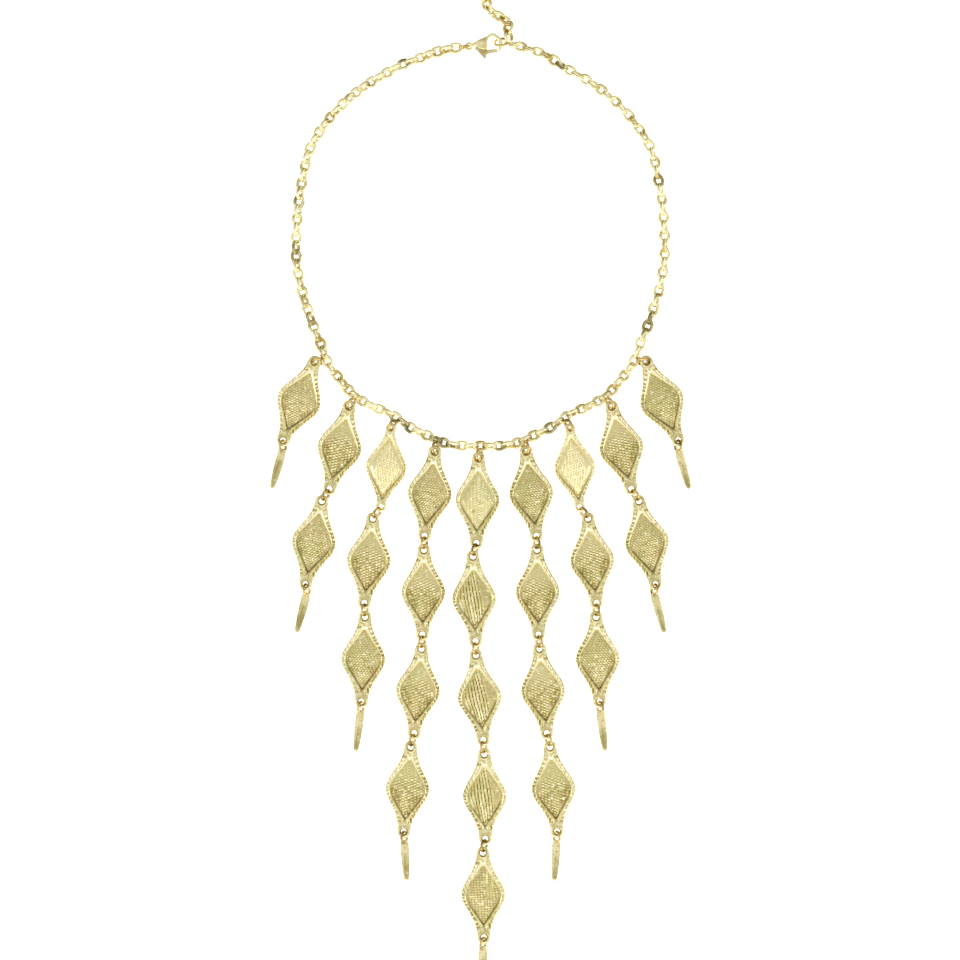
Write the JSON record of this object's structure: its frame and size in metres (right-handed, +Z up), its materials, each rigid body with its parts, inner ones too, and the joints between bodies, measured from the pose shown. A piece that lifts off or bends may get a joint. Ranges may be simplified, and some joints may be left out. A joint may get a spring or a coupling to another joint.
{
  "type": "bib necklace",
  "caption": "Bib necklace lying flat: cable chain with a lobster clasp and a fan of hanging strands of relief lozenge plaques on jump rings, each ending in a slim bar drop.",
  "frame": {"origin": "middle of the necklace's box in plan, on the surface that it lies on", "axes": "+X across the wearer from their right to their left as the necklace is seen from above, +Y from the longest drop towards the clasp, +Z up off the surface, towards the viewer"},
  "size_m": [0.1516, 0.3702, 0.0046],
  "materials": {
    "matt_gold": "pale gold plate, cast woven relief, satin",
    "bright_gold": "pale gold plate, polished"
  },
  "bodies": {
    "necklace": {"chain_front": "bright_gold", "chain_left": "bright_gold", "chain_right": "bright_gold", "clasp_body": "bright_gold", "clasp_ring": "bright_gold", "extender_chain": "bright_gold", "fourth_left_drop": "bright_gold", "fourth_left_plaque_1": "matt_gold", "fourth_left_plaque_2": "matt_gold", "fourth_left_plaque_3": "matt_gold", "fourth_left_plaque_4": "matt_gold", "fourth_left_ring_1": "bright_gold", "fourth_left_ring_2": "bright_gold", "fourth_left_ring_3": "bright_gold", "fourth_right_drop": "bright_gold", "fourth_right_plaque_1": "matt_gold", "fourth_right_plaque_2": "matt_gold", "fourth_right_plaque_3": "matt_gold", "fourth_right_plaque_4": "matt_gold", "fourth_right_ring_1": "bright_gold", "fourth_right_ring_2": "bright_gold", "fourth_right_ring_3": "bright_gold", "middle_drop": "bright_gold", "middle_plaque_1": "matt_gold", "middle_plaque_2": "matt_gold", "middle_plaque_3": "matt_gold", "middle_plaque_4": "matt_gold", "middle_plaque_5": "matt_gold", "middle_ring_1": "bright_gold", "middle_ring_2": "bright_gold", "middle_ring_3": "bright_gold", "middle_ring_4": "bright_gold", "outer_left_drop": "bright_gold", "outer_left_plaque_1": "matt_gold", "outer_right_drop": "bright_gold", "outer_right_plaque_1": "matt_gold", "second_left_drop": "bright_gold", "second_left_plaque_1": "matt_gold", "second_left_plaque_2": "matt_gold", "second_left_ring_1": "bright_gold", "second_right_drop": "bright_gold", "second_right_plaque_1": "matt_gold", "second_right_plaque_2": "matt_gold", "second_right_ring_1": "bright_gold", "third_left_drop": "bright_gold", "third_left_plaque_1": "bright_gold", "third_left_plaque_2": "matt_gold", "third_left_plaque_3": "matt_gold", "third_left_ring_1": "bright_gold", "third_left_ring_2": "bright_gold", "third_right_drop": "bright_gold", "third_right_plaque_1": "bright_gold", "third_right_plaque_2": "matt_gold", "third_right_plaque_3": "matt_gold", "third_right_ring_1": "bright_gold", "third_right_ring_2": "bright_gold"},
    "lever": {"clasp_lever": "bright_gold"}
  },
  "joints": [
    {"name": "clasp_lever_hinge", "type": "hinge", "parent": "necklace", "child": "lever", "pos_m": [-0.00009, 0.15418, 0.0022], "axis": [0, 0, 1], "range_deg": [0, 12], "stiffness_Nm_per_rad": 0.0004, "springref_deg": -5.73}
  ]
}
